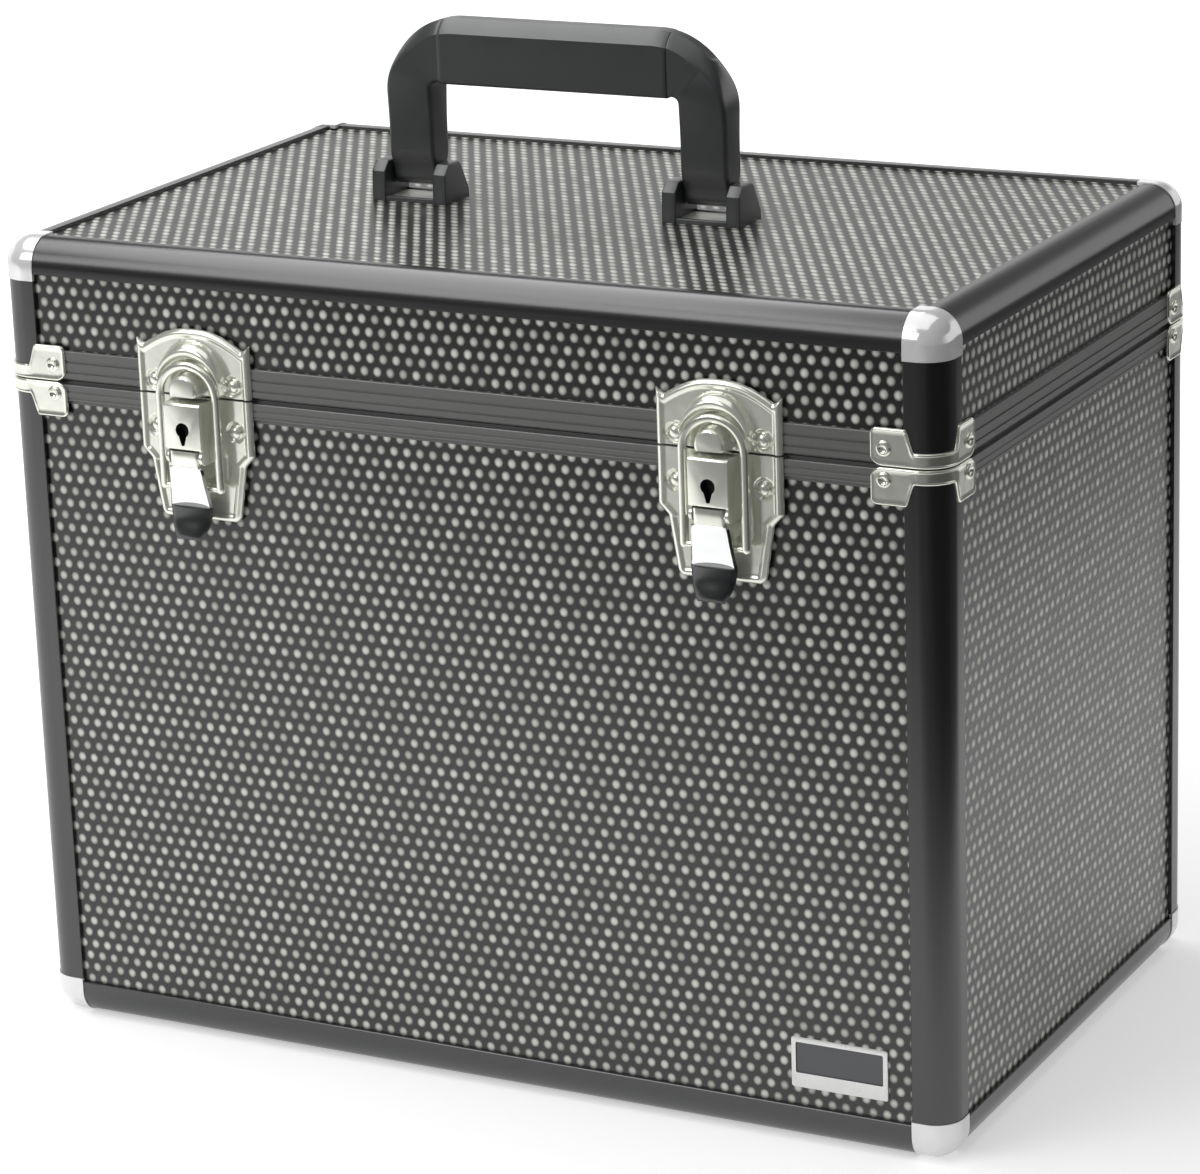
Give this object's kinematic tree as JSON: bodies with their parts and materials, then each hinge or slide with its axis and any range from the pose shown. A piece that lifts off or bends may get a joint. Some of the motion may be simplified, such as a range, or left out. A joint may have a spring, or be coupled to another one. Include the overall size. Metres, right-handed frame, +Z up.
{
  "type": "vanity case",
  "caption": "Panelled vanity case with a hinged lid, lockable draw latches, chrome corner caps, waist braces and a folding carrying handle.",
  "frame": {"origin": "on the floor, under the middle of the overall box with the lid closed and the handle upright", "axes": "+X to the right seen from the front, +Y towards the hinge at the back, +Z up"},
  "size_m": [0.3684, 0.2461, 0.3623],
  "materials": {
    "laminate": "black laminate with staggered rows of silvery dots",
    "black_edge": "black anodised aluminium extrusion, satin",
    "grey_rim": "dark grey anodised aluminium extrusion, satin",
    "chrome": "bright nickel and chrome plated pressed steel",
    "black_plastic": "black moulded plastic, satin",
    "lining": "black cloth-covered board"
  },
  "bodies": {
    "case": {"body_bottom_panel": "laminate", "body_front_panel": "laminate", "body_right_panel": "laminate", "body_back_panel": "laminate", "body_left_panel": "laminate", "body_post_front_left": "black_edge", "body_post_front_right": "black_edge", "body_post_back_right": "black_edge", "body_post_back_left": "black_edge", "floor_edge_front": "black_edge", "floor_edge_right": "black_edge", "floor_edge_back": "black_edge", "floor_edge_left": "black_edge", "floor_cap_front_left": "chrome", "floor_cap_front_right": "chrome", "floor_cap_back_right": "chrome", "floor_cap_back_left": "chrome", "body_rim": "grey_rim", "body_lining": "lining", "body_brace_front_left": "chrome", "body_brace_front_right": "chrome", "body_brace_back_right": "chrome", "body_brace_back_left": "chrome", "latch_base_left": "chrome", "latch_base_right": "chrome", "hinge_body_leaf": "chrome", "hinge_pin": "chrome"},
    "lid": {"lid_top_panel": "laminate", "lid_front_panel": "laminate", "lid_right_panel": "laminate", "lid_back_panel": "laminate", "lid_left_panel": "laminate", "lid_post_front_left": "black_edge", "lid_post_front_right": "black_edge", "lid_post_back_right": "black_edge", "lid_post_back_left": "black_edge", "lid_edge_front": "black_edge", "lid_edge_right": "black_edge", "lid_edge_back": "black_edge", "lid_edge_left": "black_edge", "lid_cap_front_left": "chrome", "lid_cap_front_right": "chrome", "lid_cap_back_right": "chrome", "lid_cap_back_left": "chrome", "lid_rim": "grey_rim", "lid_lining": "lining", "lid_brace_front_left": "chrome", "lid_brace_front_right": "chrome", "lid_brace_back_right": "chrome", "lid_brace_back_left": "chrome", "latch_keeper_left": "chrome", "latch_keeper_right": "chrome", "handle_bracket_left": "black_plastic", "handle_bracket_right": "black_plastic", "hinge_lid_leaf": "chrome"},
    "handle": {"handle": "black_plastic"},
    "lever_left": {"latch_lever_left": "chrome"},
    "lever_right": {"latch_lever_right": "chrome"},
    "bail_left": {"latch_bail_left": "chrome"},
    "bail_right": {"latch_bail_right": "chrome"}
  },
  "joints": [
    {"name": "lid_hinge", "type": "hinge", "parent": "case", "child": "lid", "pos_m": [0, 0.1201, 0.2455], "axis": [-1, 0, 0], "range_deg": [0, 100]},
    {"name": "handle_fold", "type": "hinge", "parent": "lid", "child": "handle", "pos_m": [-0.01375, 0.0023, 0.3037], "axis": [1, 0, 0], "range_deg": [-82, 82]},
    {"name": "lever_left_swing", "type": "hinge", "parent": "case", "child": "lever_left", "pos_m": [-0.102, -0.1201, 0.2252], "axis": [-1, 0, 0], "range_deg": [0, 95]},
    {"name": "bail_left_swing", "type": "hinge", "parent": "lever_left", "child": "bail_left", "pos_m": [-0.102, -0.1177, 0.2135], "axis": [-1, 0, 0], "range_deg": [-124, 0]},
    {"name": "lever_right_swing", "type": "hinge", "parent": "case", "child": "lever_right", "pos_m": [0.102, -0.1201, 0.2252], "axis": [-1, 0, 0], "range_deg": [0, 95]},
    {"name": "bail_right_swing", "type": "hinge", "parent": "lever_right", "child": "bail_right", "pos_m": [0.102, -0.1177, 0.2135], "axis": [-1, 0, 0], "range_deg": [-124, 0]}
  ],
  "couplings": [
    {"joint": "bail_left_swing", "follows": "lever_left_swing", "ratio": -1.3},
    {"joint": "bail_right_swing", "follows": "lever_right_swing", "ratio": -1.3}
  ]
}
